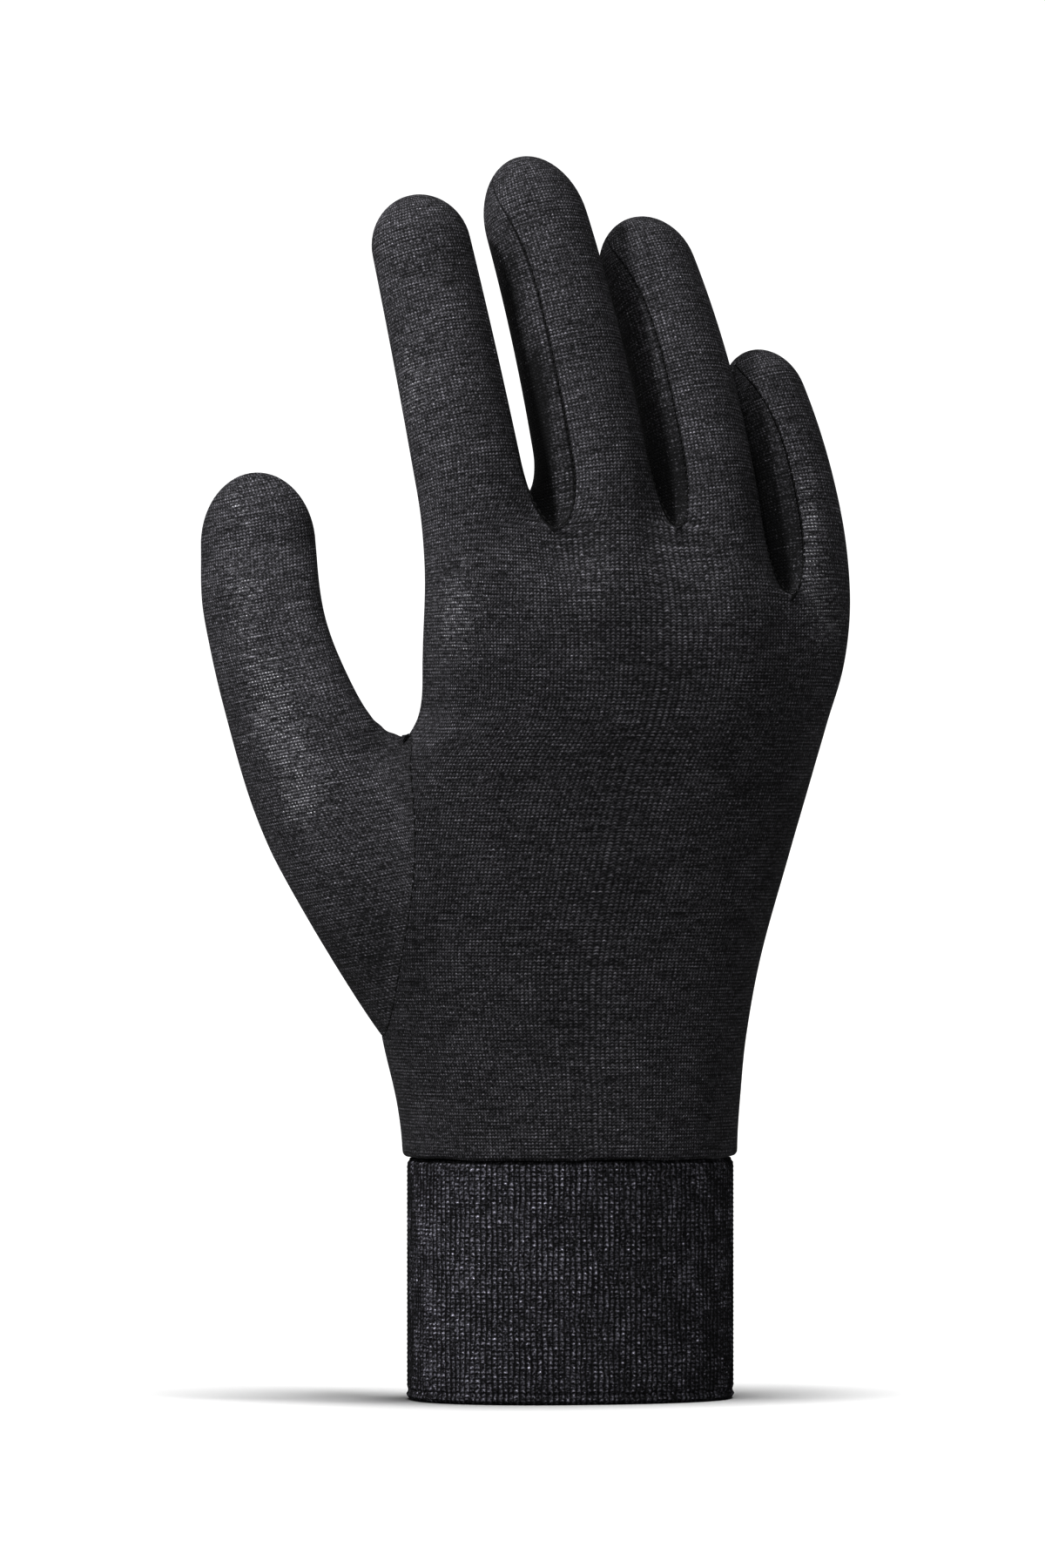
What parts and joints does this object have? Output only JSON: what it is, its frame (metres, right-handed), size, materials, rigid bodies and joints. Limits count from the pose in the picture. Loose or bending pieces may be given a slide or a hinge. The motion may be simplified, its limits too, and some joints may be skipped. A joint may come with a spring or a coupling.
{
  "type": "knitted glove liner",
  "caption": "Thin knitted glove liner for a right hand, with cut-in finger side strips, a set-in thumb and a deep rib cuff.",
  "frame": {"origin": "middle of the cuff's mouth, where the wrist goes in", "axes": "+Z from the cuff to the fingertips, -Y out of the back of the hand at the cuff, -X to the thumb side"},
  "size_m": [0.1333, 0.0594, 0.2538],
  "materials": {
    "jersey_knit": "matte charcoal jersey knit",
    "jersey_strip": "matte charcoal jersey knit",
    "rib_knit": "matte charcoal rib knit"
  },
  "bodies": {
    "root": {"rib_cuff": "rib_knit", "back_panel": "jersey_knit", "palm_panel": "jersey_knit", "fourchette_index_middle": "jersey_strip", "fourchette_middle_ring": "jersey_strip", "fourchette_ring_little": "jersey_strip", "thumb": "jersey_knit"}
  },
  "joints": []
}
